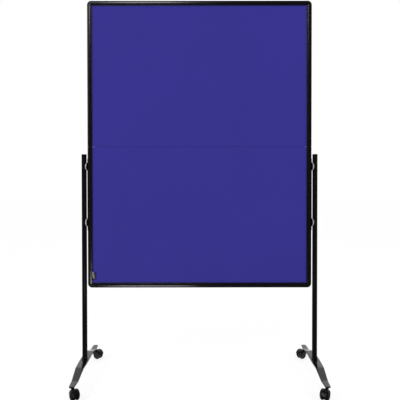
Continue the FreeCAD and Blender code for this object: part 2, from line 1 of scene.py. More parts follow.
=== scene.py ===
import bmesh
import bpy
import json
import math
import numpy as np
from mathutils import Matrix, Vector


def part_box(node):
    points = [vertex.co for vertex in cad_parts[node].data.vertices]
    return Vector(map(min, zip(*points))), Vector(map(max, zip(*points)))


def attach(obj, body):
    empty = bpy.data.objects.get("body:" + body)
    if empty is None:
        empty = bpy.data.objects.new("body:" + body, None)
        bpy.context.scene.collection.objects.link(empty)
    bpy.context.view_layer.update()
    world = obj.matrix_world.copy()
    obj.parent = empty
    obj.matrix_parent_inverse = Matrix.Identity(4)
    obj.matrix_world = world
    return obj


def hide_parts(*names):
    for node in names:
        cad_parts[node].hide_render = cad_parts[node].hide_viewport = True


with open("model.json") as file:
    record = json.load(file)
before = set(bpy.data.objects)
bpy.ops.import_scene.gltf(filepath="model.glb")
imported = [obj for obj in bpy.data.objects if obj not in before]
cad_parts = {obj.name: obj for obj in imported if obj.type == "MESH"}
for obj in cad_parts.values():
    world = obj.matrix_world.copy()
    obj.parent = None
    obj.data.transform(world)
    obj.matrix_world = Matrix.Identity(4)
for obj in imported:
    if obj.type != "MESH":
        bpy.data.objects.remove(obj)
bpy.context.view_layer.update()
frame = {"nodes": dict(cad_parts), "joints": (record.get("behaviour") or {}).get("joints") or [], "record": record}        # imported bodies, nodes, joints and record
nodes = frame["nodes"]
joints = {joint["name"]: joint for joint in frame["joints"]}


# Shader groups: shared effects, each built once

def newGroup(name, inputs, outputs):
    tree = bpy.data.node_groups.new(name, "ShaderNodeTree")
    for label, value in inputs.items():
        socket = tree.interface.new_socket(name=label, in_out="INPUT", socket_type="NodeSocketFloat")
        socket.default_value = value
    for label in outputs:
        tree.interface.new_socket(name=label, in_out="OUTPUT", socket_type="NodeSocketFloat")
    return tree, tree.nodes.new("NodeGroupInput"), tree.nodes.new("NodeGroupOutput")


def addNode(tree, kind, **settings):
    node = tree.nodes.new(kind)
    for key, value in settings.items():
        if key in node.inputs:
            node.inputs[key].default_value = value
        else:
            setattr(node, key, value)
    return node


def addNoise(tree, scale, detail, coords, distortion=0.0, roughness=0.5):
    node = addNode(tree, "ShaderNodeTexNoise", Detail=detail, Distortion=distortion, Roughness=roughness)
    if isinstance(scale, bpy.types.NodeSocket):
        tree.links.new(scale, node.inputs["Scale"])
    else:
        node.inputs["Scale"].default_value = scale
    tree.links.new(coords, node.inputs["Vector"])
    return node.outputs["Fac"]


def addMath(tree, operation, first, second, clamp=False):
    node = addNode(tree, "ShaderNodeMath", operation=operation, use_clamp=clamp)
    for socket, value in zip(node.inputs, (first, second)):
        if isinstance(value, bpy.types.NodeSocket):
            tree.links.new(value, socket)
        else:
            socket.default_value = value
    return node.outputs["Value"]


def addRamp(tree, value, low, high, toLow=0.0, toHigh=1.0):
    node = addNode(tree, "ShaderNodeMapRange", interpolation_type="SMOOTHSTEP")
    for label, number in (("From Min", low), ("From Max", high), ("To Min", toLow), ("To Max", toHigh)):
        node.inputs[label].default_value = number
    tree.links.new(value, node.inputs["Value"])
    return node.outputs["Result"]


skinNoise = {"grainDetail": 3.0, "driftScale": 9.0, "driftDetail": 4.0, "driftSwirl": 0.6,
             "driftShare": 0.7, "grainShare": 0.3}


def makeSkinGroup(look):
    # fine coat or mould texture: noise gives the height, slow drift and grain give the roughness
    tree, ins, outs = newGroup("coatSkin", {"Grain": 900.0, "Roughness": 0.3, "Drift": 0.08},
                               ["Roughness", "Height"])
    coords = addNode(tree, "ShaderNodeTexCoord").outputs["Object"]
    grain = addNoise(tree, ins.outputs["Grain"], look["grainDetail"], coords)
    drift = addNoise(tree, look["driftScale"], look["driftDetail"], coords, distortion=look["driftSwirl"])
    mixed = addMath(tree, "ADD", addMath(tree, "MULTIPLY", drift, look["driftShare"]),
                    addMath(tree, "MULTIPLY", grain, look["grainShare"]))
    swing = addMath(tree, "MULTIPLY", addMath(tree, "SUBTRACT", mixed, 0.5), ins.outputs["Drift"])
    rough = addMath(tree, "ADD", ins.outputs["Roughness"], swing, clamp=True)
    tree.links.new(rough, outs.inputs["Roughness"])
    tree.links.new(grain, outs.inputs["Height"])
    return tree


dustCloud = {"upFrom": 0.45, "upTo": 1.0, "detail": 5.0, "cloudFrom": 0.35, "cloudTo": 0.75}


def makeDustGroup(look):
    # settled dust: upward faces times cloudy noise
    tree, ins, outs = newGroup("settledDust", {"Amount": 0.1, "Scale": 40.0}, ["Mask"])
    coords = addNode(tree, "ShaderNodeTexCoord").outputs["Object"]
    normal = addNode(tree, "ShaderNodeSeparateXYZ")
    tree.links.new(addNode(tree, "ShaderNodeNewGeometry").outputs["Normal"], normal.inputs["Vector"])
    upward = addRamp(tree, normal.outputs["Z"], look["upFrom"], look["upTo"])
    noise = addNoise(tree, ins.outputs["Scale"], look["detail"], coords)
    cloud = addRamp(tree, noise, look["cloudFrom"], look["cloudTo"])
    mask = addMath(tree, "MULTIPLY", addMath(tree, "MULTIPLY", upward, cloud), ins.outputs["Amount"])
    tree.links.new(mask, outs.inputs["Mask"])
    return tree


rubPaths = {"turns": (0.4, -0.9), "tilt": 0.3, "stretches": ((260.0, 18.0, 40.0), (30.0, 220.0, 22.0)),
            "detail": 2.0, "peakFrom": 0.66, "peakTo": 0.78}


def makeScuffGroup(look):
    # rub marks: two stretched noises cut off near their peaks
    tree, ins, outs = newGroup("rubMarks", {"Amount": 0.2, "Size": 1.0}, ["Mask"])
    coords = addNode(tree, "ShaderNodeTexCoord").outputs["Object"]
    marks = []
    for turn, stretch in zip(look["turns"], look["stretches"]):
        mapping = addNode(tree, "ShaderNodeMapping", Rotation=(turn, look["tilt"], turn), Scale=stretch)
        tree.links.new(coords, mapping.inputs["Vector"])
        noise = addNoise(tree, ins.outputs["Size"], look["detail"], mapping.outputs["Vector"])
        marks.append(addRamp(tree, noise, look["peakFrom"], look["peakTo"]))
    both = addMath(tree, "MAXIMUM", marks[0], marks[1])
    tree.links.new(addMath(tree, "MULTIPLY", both, ins.outputs["Amount"]), outs.inputs["Mask"])
    return tree


skinGroup = makeSkinGroup(skinNoise)
dustGroup = makeDustGroup(dustCloud)
scuffGroup = makeScuffGroup(rubPaths)
print("shader groups built")


# Materials: one function for each finish

def newMaterial(name, **sockets):
    material = bpy.data.materials.new(name)
    material.use_nodes = True
    shader = material.node_tree.nodes["Principled BSDF"]
    for label, value in sockets.items():
        shader.inputs[label.replace("_", " ")].default_value = value
    return material, material.node_tree, shader


def placeGroup(tree, group, **values):
    node = tree.nodes.new("ShaderNodeGroup")
    node.node_tree = group
    for label, value in values.items():
        node.inputs[label].default_value = value
    return node


def mixColour(tree, factor, first, second, blend="MIX"):
    node = addNode(tree, "ShaderNodeMix", data_type="RGBA", blend_type=blend)
    for socket, value in ((node.inputs["Factor"], factor), (node.inputs[6], first), (node.inputs[7], second)):
        if isinstance(value, bpy.types.NodeSocket):
            tree.links.new(value, socket)
        else:
            socket.default_value = value
    return node.outputs[2]


def addBump(tree, shader, height, strength, distance):
    bump = addNode(tree, "ShaderNodeBump", Strength=strength, Distance=distance)
    tree.links.new(height, bump.inputs["Height"])
    tree.links.new(bump.outputs["Normal"], shader.inputs["Normal"])


def coatMaterial(name, look):
    # painted or moulded black: base colour with dust and rub marks over it, grain in height and roughness
    material, tree, shader = newMaterial(name, IOR=look["ior"], Specular_IOR_Level=look["specular"])
    skin = placeGroup(tree, skinGroup, Grain=look["grain"], Roughness=look["roughness"], Drift=look["drift"])
    dust = placeGroup(tree, dustGroup, Amount=look["dust"], Scale=look["dustScale"])
    scuff = placeGroup(tree, scuffGroup, Amount=look["scuff"], Size=1.0)
    rubbed = mixColour(tree, scuff.outputs["Mask"], look["colour"], look["rubColour"])
    dusty = mixColour(tree, dust.outputs["Mask"], rubbed, look["dustColour"])
    rougher = addMath(tree, "ADD", skin.outputs["Roughness"], scuff.outputs["Mask"])
    roughest = addMath(tree, "ADD", rougher, dust.outputs["Mask"], clamp=True)
    tree.links.new(dusty, shader.inputs["Base Color"])
    tree.links.new(roughest, shader.inputs["Roughness"])
    addBump(tree, shader, skin.outputs["Height"], look["bump"], look["bumpDepth"])
    return material


railLook = {"colour": (0.0046, 0.0046, 0.0058, 1), "rubColour": (0.03, 0.03, 0.032, 1),
            "dustColour": (0.16, 0.155, 0.15, 1), "ior": 1.5, "specular": 0.30, "roughness": 0.20,
            "drift": 0.07, "grain": 1400.0, "dust": 0.008, "dustScale": 30.0, "scuff": 0.02,
            "bump": 0.02, "bumpDepth": 0.0002}
footLook = {"colour": (0.0042, 0.0042, 0.0046, 1), "rubColour": (0.035, 0.035, 0.036, 1),
            "dustColour": (0.20, 0.195, 0.19, 1), "ior": 1.5, "specular": 0.5, "roughness": 0.09,
            "drift": 0.06, "grain": 700.0, "dust": 0.02, "dustScale": 55.0, "scuff": 0.06,
            "bump": 0.05, "bumpDepth": 0.0002}
mouldLook = {"colour": (0.0034, 0.0034, 0.0037, 1), "rubColour": (0.03, 0.03, 0.03, 1),
             "dustColour": (0.17, 0.165, 0.16, 1), "ior": 1.48, "specular": 0.3, "roughness": 0.36,
             "drift": 0.10, "grain": 2600.0, "dust": 0.008, "dustScale": 40.0, "scuff": 0.03,
             "bump": 0.22, "bumpDepth": 0.0002}
nylonLook = {"colour": (0.0036, 0.0036, 0.0039, 1), "rubColour": (0.05, 0.05, 0.05, 1),
             "dustColour": (0.19, 0.185, 0.18, 1), "ior": 1.5, "specular": 0.28, "roughness": 0.28,
             "drift": 0.12, "grain": 2000.0, "dust": 0.010, "dustScale": 90.0, "scuff": 0.05,
             "bump": 0.07, "bumpDepth": 0.0002}


def feltMaterial(look):
    # matted fibres: two swirled noises mixed, painted shade in the hollows and lighter fibre backs,
    # with pale flecks, a slow cloud over the field and a painted shadow beside the rails
    material, tree, shader = newMaterial("blueFelt", Roughness=look["roughness"], Sheen_Weight=look["sheen"],
                                         Sheen_Roughness=look["sheenRoughness"],
                                         Sheen_Tint=look["sheenTint"], Specular_IOR_Level=look["specular"])
    coords = addNode(tree, "ShaderNodeTexCoord").outputs["Object"]
    fibre = addNoise(tree, look["fibre"], look["fibreDetail"], coords, look["fibreSwirl"], look["fibreRough"])
    tuft = addNoise(tree, look["tuft"], look["tuftDetail"], coords, look["tuftSwirl"])
    cloud = addNoise(tree, look["cloud"], look["cloudDetail"], coords)
    height = addMath(tree, "ADD", addMath(tree, "MULTIPLY", fibre, look["fibreShare"]),
                     addMath(tree, "MULTIPLY", tuft, look["tuftShare"]))
    # painted shade: the felt is darker in the hollows of the height noise and lighter on its raised fibres
    shade = addRamp(tree, height, look["shadeFrom"], look["shadeTo"])
    matted = mixColour(tree, shade, look["hollow"], look["fibreBack"])
    peaks = addNoise(tree, look["fleck"], look["fleckDetail"], coords, look["fleckSwirl"])
    fleck = addRamp(tree, peaks, look["fleckFrom"], look["fleckTo"])
    fleckMask = addMath(tree, "MULTIPLY", fleck, look["fleckShare"])
    flecked = mixColour(tree, fleckMask, matted, look["fleckColour"])
    drift = addRamp(tree, cloud, look["cloudFrom"], look["cloudTo"],
                    1 - look["cloudSwing"], 1 + look["cloudSwing"])
    unshadedFelt = mixColour(tree, 1.0, flecked, drift, "MULTIPLY")
    # painted shadow of the rails: a dark blue mixed in by a per-point attribute, strongest beside the rails
    railShadow = addNode(tree, "ShaderNodeAttribute", attribute_name="railShadow")     # strongest beside the rails
    railShaded = mixColour(tree, railShadow.outputs["Fac"], unshadedFelt, look["railShadowColour"])
    tree.links.new(railShaded, shader.inputs["Base Color"])
    addBump(tree, shader, height, look["nap"], look["napDepth"])
    return material


# the dark blue mixed in beside the rails is a painted shadow of the rails
feltLook = {"hollow": (0.0295, 0.0248, 0.226, 1), "fibreBack": (0.0405, 0.035, 0.284, 1),
            "fleckColour": (0.075, 0.068, 0.38, 1), "fleckShare": 0.35, "fibre": 1100.0, "tuft": 210.0,
            "fibreShare": 0.65, "tuftShare": 0.35, "cloud": 3.0, "fleck": 650.0, "cloudSwing": 0.02,
            "fibreDetail": 6.0, "fibreSwirl": 3.2, "fibreRough": 0.62, "tuftDetail": 5.0, "tuftSwirl": 1.4,
            "cloudDetail": 3.0, "fleckDetail": 2.0, "fleckSwirl": 5.0, "shadeFrom": 0.30, "shadeTo": 0.70,
            "fleckFrom": 0.64, "fleckTo": 0.72, "cloudFrom": 0.3, "cloudTo": 0.7,
            "nap": 0.5, "napDepth": 0.0006, "railShadowColour": (0.008, 0.007, 0.045, 1), "roughness": 0.95,
            "specular": 0.12, "sheen": 0.05, "sheenRoughness": 0.55, "sheenTint": (0.55, 0.55, 0.9, 1)}


def steelMaterial(name, look):
    # zinc plate: spangle noise between two greys, fine grain in roughness and height
    material, tree, shader = newMaterial(name, Metallic=look["metallic"])
    coords = addNode(tree, "ShaderNodeTexCoord").outputs["Object"]
    spangle = addNoise(tree, look["spangle"], look["spangleDetail"], coords, look["spangleSwirl"])
    skin = placeGroup(tree, skinGroup, Grain=look["grain"], Roughness=look["roughness"], Drift=look["drift"])
    tree.links.new(mixColour(tree, spangle, look["dark"], look["light"]), shader.inputs["Base Color"])
    tree.links.new(skin.outputs["Roughness"], shader.inputs["Roughness"])
    addBump(tree, shader, skin.outputs["Height"], look["bump"], look["bumpDepth"])
    return material


steelLook = {"dark": (0.52, 0.52, 0.53, 1), "light": (0.72, 0.72, 0.72, 1), "spangle": 350.0,
             "spangleDetail": 2.0, "spangleSwirl": 1.0, "grain": 3000.0, "roughness": 0.28,
             "drift": 0.2, "bump": 0.08, "bumpDepth": 0.0002, "metallic": 1.0}
# pale, barely metallic copy of the zinc for the coupling saddles: its raised colour is a painted highlight on
# their rims
saddleHighlightLook = dict(steelLook, dark=(0.74, 0.74, 0.73, 1), light=(0.86, 0.86, 0.85, 1),
                  roughness=0.34, metallic=0.25)
# grey copy of the zinc for the tab's plate: a painted highlight streak
tabHighlightPlateLook = dict(steelLook, dark=(0.16, 0.16, 0.165, 1), light=(0.22, 0.22, 0.225, 1),
                    roughness=0.4, metallic=0.3)


def woodMaterial(name, look):
    # rings or pressed chips: stretched noise between two wood tones
    material, tree, shader = newMaterial(name, Roughness=look["roughness"])
    coords = addNode(tree, "ShaderNodeTexCoord").outputs["Object"]
    mapping = addNode(tree, "ShaderNodeMapping", Scale=look["stretch"])
    tree.links.new(coords, mapping.inputs["Vector"])
    grain = addNoise(tree, look["grain"], look["detail"], mapping.outputs["Vector"], look["swirl"])
    tone = addRamp(tree, grain, look["darkFrom"], look["lightFrom"])
    tree.links.new(mixColour(tree, tone, look["dark"], look["light"]), shader.inputs["Base Color"])
    addBump(tree, shader, grain, look["bump"], look["bumpDepth"])
    return material


battenLook = {"stretch": (2.0, 40.0, 40.0), "grain": 3.0, "swirl": 0.8, "roughness": 0.6,
              "detail": 6.0, "darkFrom": 0.3, "lightFrom": 0.7, "bump": 0.3, "bumpDepth": 0.0004,
              "dark": (0.36, 0.24, 0.13, 1), "light": (0.60, 0.46, 0.30, 1)}
coreLook = {"stretch": (1.0, 1.0, 1.0), "grain": 260.0, "swirl": 0.2, "roughness": 0.9,
            "detail": 6.0, "darkFrom": 0.3, "lightFrom": 0.7, "bump": 0.3, "bumpDepth": 0.0004,
            "dark": (0.30, 0.22, 0.14, 1), "light": (0.52, 0.42, 0.29, 1)}

finishes = {
    "frame_coat": coatMaterial("satinBlackCoat", railLook),
    "foot_coat": coatMaterial("glossBlackEnamel", footLook),
    "blue_felt": feltMaterial(feltLook),
    "soft_core": woodMaterial("pressedSoftboard", coreLook),
    "batten_wood": woodMaterial("planedBatten", battenLook),
    "moulded_black": coatMaterial("mouldedBlack", mouldLook),
    "castor_nylon": coatMaterial("castorNylon", nylonLook),
    "zinc_steel": steelMaterial("zincSteel", steelLook),
}
postLook = dict(railLook, colour=(0.0052, 0.0052, 0.0054, 1), specular=0.03)
collarLook = dict(mouldLook, roughness=0.12, bump=0.04)
postCoat = coatMaterial("postBlackCoat", postLook)
collarGloss = coatMaterial("collarGloss", collarLook)
# the coupling saddles' pale finish is a painted highlight
ownFinish = {"post_left": postCoat, "post_right": postCoat,      # nodes that differ from their slot's finish
             "post_collar_left": collarGloss, "post_collar_right": collarGloss,
             "coupling_saddles": steelMaterial("saddlePaintedHighlight", saddleHighlightLook)}
slotOf = {part["node"]: part["material_slot"] for part in frame["record"]["subparts"]}
for nodeName, nodeObject in nodes.items():
    nodeObject.data.materials.clear()
    nodeObject.data.materials.append(ownFinish.get(nodeName, finishes[slotOf[nodeName]]))
print("materials:", len(finishes), "finishes on", len(nodes), "nodes")


# Surfaces: grids of points worked out as whole arrays

def roundedLoop(corners, steps=5):
    # closed outline: each corner (x, y, radius) becomes a tangent arc between its two sides
    points = []
    count = len(corners)
    for index, (x, y, radius) in enumerate(corners):
        here = np.array((x, y))
        before = np.array(corners[index - 1][:2]) - here
        after = np.array(corners[(index + 1) % count][:2]) - here
        before = before / np.linalg.norm(before)
        after = after / np.linalg.norm(after)
        if radius <= 0:
            points.append(here[None])
            continue
        half = math.acos(float(np.clip(before @ after, -1, 1))) / 2
        middle = before + after
        centre = here + middle / np.linalg.norm(middle) * radius / math.sin(half)
        start = here + before * radius / math.tan(half) - centre
        end = here + after * radius / math.tan(half) - centre
        share = np.linspace(0, 1, steps + 1)[:, None]
        arc = start * (1 - share) + end * share
        points.append(centre + arc / np.linalg.norm(arc, axis=1)[:, None] * radius)
    return np.concatenate(points)


def gridSurface(points, wrapColumns=False, caps=False):
    # quads between neighbouring grid points, with the first and last rows closed by one face each
    rows, columns = points.shape[:2]
    index = np.arange(rows * columns).reshape(rows, columns)
    if wrapColumns:
        index = np.concatenate((index, index[:, :1]), axis=1)
    quads = np.stack((index[:-1, :-1], index[:-1, 1:], index[1:, 1:], index[1:, :-1]), axis=-1)
    faces = quads.reshape(-1, 4).tolist()
    if caps:
        faces += [index[0, :columns][::-1].tolist(), index[-1, :columns].tolist()]
    return points.reshape(-1, 3), faces


mergeGap = 2e-6        # points closer than this become one


def addPiece(name, surfaces, body, slot, replaced=(), sharpAngle=42.0):
    # joins the surfaces in one mesh, merges seams and poles, and turns every face outwards
    vertices, faces, start = [], [], 0
    for points, quads in surfaces:
        vertices.append(points)
        faces += [[start + corner for corner in quad] for quad in quads]
        start += len(points)
    mesh = bpy.data.meshes.new(name)
    mesh.from_pydata(np.concatenate(vertices).tolist(), [], faces)
    work = bmesh.new()
    work.from_mesh(mesh)
    bmesh.ops.remove_doubles(work, verts=work.verts, dist=mergeGap)
    bmesh.ops.recalc_face_normals(work, faces=work.faces)
    work.to_mesh(mesh)
    work.free()
    mesh.polygons.foreach_set("use_smooth", np.ones(len(mesh.polygons), dtype=bool))
    mesh.set_sharp_from_angle(angle=math.radians(sharpAngle))
    piece = bpy.data.objects.new(name, mesh)
    bpy.context.scene.collection.objects.link(piece)
    mesh.materials.append(finishes[slot])
    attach(piece, body)
    if replaced:
        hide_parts(*replaced)
    return piece


def revolve(profile, frameOf, segments):
    # profile rows (radius, along) turned once about the axle: radius times cosine and sine, plus along
    turn = np.linspace(0, 2 * math.pi, segments, endpoint=False)
    radius, along = profile[:, :1], profile[:, 1:2]
    local = np.stack((radius * np.cos(turn), np.broadcast_to(along, (len(profile), segments)),
                      radius * np.sin(turn)), axis=-1)
    return gridSurface(frameOf(local), wrapColumns=True)


def carrySection(centres, sideways, upward, halfWidth, halfHeight, edge, steps=4):
    # rounded rectangle of the given half sizes, set square to the path at each of its points
    quarter = np.linspace(0, math.pi / 2, steps + 1)
    turn = np.concatenate([quarter + k * math.pi / 2 for k in range(4)])
    signX = np.repeat((1, -1, -1, 1), steps + 1)
    signY = np.repeat((1, 1, -1, -1), steps + 1)
    mostShare = 0.98                 # the rounding never takes the whole half side
    edge = np.minimum(edge, np.minimum(halfWidth, halfHeight) * mostShare)[:, None]
    across = signX * (halfWidth[:, None] - edge) + edge * np.cos(turn)
    high = signY * (halfHeight[:, None] - edge) + edge * np.sin(turn)
    points = centres[:, None] + sideways[:, None] * across[..., None] + upward[:, None] * high[..., None]
    return gridSurface(points, wrapColumns=True, caps=True)


# Felt: four sheets stretched over the board's two halves

feltCut = {"thickness": 0.002, "pinch": 0.0002, "pinchRun": 0.004, "foldRound": 0.0008, "ripple": 0.00005,
           "railLip": 0.0095, "waveX": 31, "waveZ": 23, "bendZ": 17, "bend": 2,
           "columns": 150, "rows": 120, "railShadowShare": 0.75, "railShadowRun": 0.0068}


def edgeCrowded(low, high, count):
    # spacing that is close at both ends: cosine steps
    return low + (high - low) * (1 - np.cos(np.linspace(0, math.pi, count))) / 2


def edgeRefined(low, high, count, step=0.0016, closeCount=12):
    # even spacing in the field, with close steps near both ends
    close = step * np.arange(closeCount)
    middle = np.linspace(low + step * closeCount, high - step * closeCount, count - 2 * closeCount)
    return np.concatenate((low + close, middle, high - close[::-1]))


def makeFelt(name, body, way, foldEdge):
    # face height less a squared dip beside the rails, a quarter circle at the fold edge,
    # and a faint ripple that is a product of sines
    low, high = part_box(name)
    rail = feltCut["railLip"]        # width of the sheet that lies under the rails' lips
    across = edgeRefined(low.x, high.x, feltCut["columns"])
    upward = edgeRefined(low.z, high.z, feltCut["rows"])
    x, z = np.meshgrid(across, upward)
    face = high.y if way > 0 else -low.y
    gapX = np.minimum(x - low.x, high.x - x) - rail
    gapZ = (high.z - z if foldEdge == "low" else z - low.z) - rail
    shown = np.clip(np.minimum(gapX, gapZ) / feltCut["pinchRun"], 0, 1)
    dip = feltCut["pinch"] * (1 - shown) ** 2
    fold = z - low.z if foldEdge == "low" else high.z - z
    near = np.clip(1 - fold / feltCut["foldRound"], 0, 1)
    dip = dip + feltCut["foldRound"] * (1 - np.sqrt(1 - near * near))
    bend = feltCut["bend"] * np.sin(z * feltCut["bendZ"])
    ripple = feltCut["ripple"] * (1 + np.sin(x * feltCut["waveX"] + bend) * np.sin(z * feltCut["waveZ"])) / 2
    y = way * (face - dip - ripple * shown)
    piece = addPiece(name + "_sheet", [gridSurface(np.stack((x, y, z), axis=-1))], body, "blue_felt", [name])
    wall = piece.modifiers.new("thickness", "SOLIDIFY")
    wall.thickness = feltCut["thickness"] - feltCut["pinch"]
    wall.offset = -1.0
    paintRailShadow(piece, low, high, foldEdge)
    return piece


def paintRailShadow(piece, low, high, foldEdge):
    # painted shadow of the rails on the felt: a bell curve of the distance from the rails' edge
    mesh = piece.data
    places = np.empty(len(mesh.vertices) * 3)
    mesh.vertices.foreach_get("co", places)
    x, z = places.reshape(-1, 3)[:, (0, 2)].T
    away = np.minimum(x - low.x, high.x - x)
    away = np.minimum(away, high.z - z if foldEdge == "low" else z - low.z) - feltCut["railLip"]
    shade = feltCut["railShadowShare"] * np.exp(-(np.maximum(away, 0) / feltCut["railShadowRun"]) ** 2)
    mesh.attributes.new("railShadow", "FLOAT", "POINT").data.foreach_set("value", shade)


def faceTowards(piece, direction):
    # an open sheet's faces are turned to one side before it gets its thickness
    if Vector(direction).dot(piece.data.polygons[0].normal) < 0:
        piece.data.flip_normals()


for half, body, foldEdge in (("upper", "upper_board", "low"), ("lower", "stand", "high")):
    for side, way in (("front", -1), ("back", 1)):
        sheet = makeFelt(side + "_felt_" + half, body, way, foldEdge)
        faceTowards(sheet, (0, way, 0))


edgeWrap = {"thickness": 0.00038, "inset": 0.0235, "columns": 40, "rows": 10}


def makeEdgeWrap(half, body, way):
    # the strip of felt that is turned over a half's free edge, from its front face to its back face
    low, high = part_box("fold_batten_" + half)
    front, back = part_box("front_felt_" + half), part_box("back_felt_" + half)
    edge = low.z if way < 0 else high.z
    inset, turned = edgeWrap["inset"], feltCut["foldRound"]
    across = np.linspace(front[0].x + inset, front[1].x - inset, edgeWrap["columns"])
    through = np.linspace(front[0].y + turned, back[1].y - turned, edgeWrap["rows"])
    x, y = np.meshgrid(across, through)
    z = np.full_like(x, edge + way * edgeWrap["thickness"])
    piece = addPiece("fold_edge_felt_" + half, [gridSurface(np.stack((x, y, z), axis=-1))], body, "blue_felt")
    faceTowards(piece, (0, 0, way))
    wall = piece.modifiers.new("thickness", "SOLIDIFY")
    wall.thickness = edgeWrap["thickness"]
    wall.offset = -1.0


makeEdgeWrap("upper", "upper_board", -1)
makeEdgeWrap("lower", "stand", 1)
print("felt: four sheets and two turned edges")


# Recess strip: a soft black strip between rail and felt, along three sides of each half, put where the rails'
# deep recess shades the felt: painted shade as a dark strip

beadLook = {"halfWidth": 0.0017, "halfHeight": 0.0008, "edge": 0.0007, "lift": 0.0003, "clearShare": 0.9,
            "foldGap": 0.001, "rings": 30, "edgeSteps": 3}


def makeRecessShadeStrip(half, side, body, way, foldEdge):
    # the strip stands in for the recess walls and the shade in the recess
    # three straight runs of a rounded strip, lying on the felt beside the rails' lips
    low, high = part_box(side + "_felt_" + half)
    inset = feltCut["railLip"] + beadLook["halfWidth"] * beadLook["clearShare"]
    left, right = low.x + inset, high.x - inset
    foldZ = low.z + beadLook["foldGap"] if foldEdge == "low" else high.z - beadLook["foldGap"]
    endZ = high.z - inset if foldEdge == "low" else low.z + inset
    y = (low.y if way < 0 else high.y) + way * beadLook["lift"]
    runs = [((left, y, foldZ), (left, y, endZ)), ((right, y, foldZ), (right, y, endZ)),
            ((left, y, endZ), (right, y, endZ))]
    surfaces = []
    for start, end in runs:
        start, end = np.array(start), np.array(end)
        along = (end - start) / np.linalg.norm(end - start)
        if along[0] > 0:
            start, end = start - along * beadLook["halfWidth"], end + along * beadLook["halfWidth"]
        outward = np.array((0.0, way, 0.0))
        count = beadLook["rings"]
        centres = start + (end - start) * np.linspace(0, 1, count)[:, None]
        sideways = np.tile(np.cross(along, outward), (count, 1))
        sizes = [np.full(count, beadLook[key]) for key in ("halfWidth", "halfHeight", "edge")]
        surfaces.append(carrySection(centres, sideways, np.tile(outward, (count, 1)), *sizes,
                                     beadLook["edgeSteps"]))
    addPiece("%s_recess_shade_strip_%s" % (side, half), surfaces, body, "moulded_black")


for half, body, foldEdge in (("upper", "upper_board", "low"), ("lower", "stand", "high")):
    for side, way in (("front", -1), ("back", 1)):
        makeRecessShadeStrip(half, side, body, way, foldEdge)
print("recess shade strips: four")


# Feet: bent plates with rounded edges, drawn in towards the castors

footPlate = {"thickness": 0.006, "edge": 0.0016, "crownTop": 0.0925, "padTop": 0.066, "crownHalf": 0.113,
             "padStart": 0.208, "bendSoft": 0.0009, "crownHalfWidth": 0.0245, "endHalfWidth": 0.0135,
             "taperStart": 0.060, "taperSoft": 0.0016, "cornerRadius": 0.009, "cornerRows": 11,
             "proud": 0.00006, "leastHalf": 0.0005}
footRows = {"crown": (0.0, 0.088, 9), "crownBend": (0.092, 0.134, 15), "slope": (0.144, 0.18, 5),
            "padBend": (0.187, 0.229, 15), "pad": (0.245, 0.258, 2)}      # from, to and number of sections


def softMin(first, second, soft):
    # lower of two lines with a hyperbola in the corner
    return (first + second - np.sqrt((first - second) ** 2 + soft * soft)) / 2


def footCentreLine(y, look):
    # level pad, slope and level crown, joined softly: middle height of the plate
    slope = (look["crownTop"] - look["padTop"]) / (look["padStart"] - look["crownHalf"])
    ramp = look["padTop"] + (look["padStart"] - np.abs(y)) * slope
    rising = -softMin(-ramp, np.full_like(y, -look["padTop"]), look["bendSoft"])
    return softMin(rising, np.full_like(y, look["crownTop"]), look["bendSoft"]) - look["thickness"] / 2


def footHalfWidth(y, length, look):
    # parallel crown, straight taper, quarter circles at the end
    narrowing = look["crownHalfWidth"] - look["endHalfWidth"]
    taper = look["endHalfWidth"] + narrowing * (length - np.abs(y)) / (length - look["taperStart"])
    width = softMin(taper, np.full_like(y, look["crownHalfWidth"]), look["taperSoft"])
    corner = look["cornerRadius"]
    into = np.clip(np.abs(y) - (length - corner), 0, corner)
    return width - corner + np.sqrt(corner ** 2 - into ** 2)


def makeFoot(side):
    # rounded section carried along the plate's middle line, square to its slope, thinned to a round end
    low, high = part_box("foot_" + side)
    length, middle, look = high.y, (low.x + high.x) / 2, footPlate
    near = length - look["cornerRadius"] * (1 - np.sin(np.linspace(0, math.pi / 2, look["cornerRows"])))
    half = np.concatenate([np.linspace(*rows) for rows in footRows.values()] + [near])
    y = np.concatenate((-half[:0:-1], half))
    z = footCentreLine(y, look) + look["proud"]
    slope = np.gradient(z, y)
    lean = 1 / np.sqrt(1 + slope * slope)
    upward = np.stack((np.zeros_like(y), -slope * lean, lean), axis=-1)
    width = footHalfWidth(y, length, look)
    into = np.clip((np.abs(y) - (length - look["edge"])) / look["edge"], 0, 1)
    inset = look["edge"] * (1 - np.sqrt(1 - into * into))
    thick = np.full_like(y, look["thickness"] / 2) - inset
    centres = np.stack((np.full_like(y, middle), y, z), axis=-1)
    sideways = np.tile((1.0, 0.0, 0.0), (len(y), 1))
    edge = np.full_like(y, look["edge"])
    plate = carrySection(centres, sideways, upward, np.maximum(width - inset, look["leastHalf"]), thick, edge)
    return addPiece("foot_plate_" + side, [plate], "stand", "foot_coat", ["foot_" + side])


for side in ("left", "right"):
    makeFoot(side)
print("feet: two bent plates")


# Castors: wheels, hood with its fork, and lock pedals

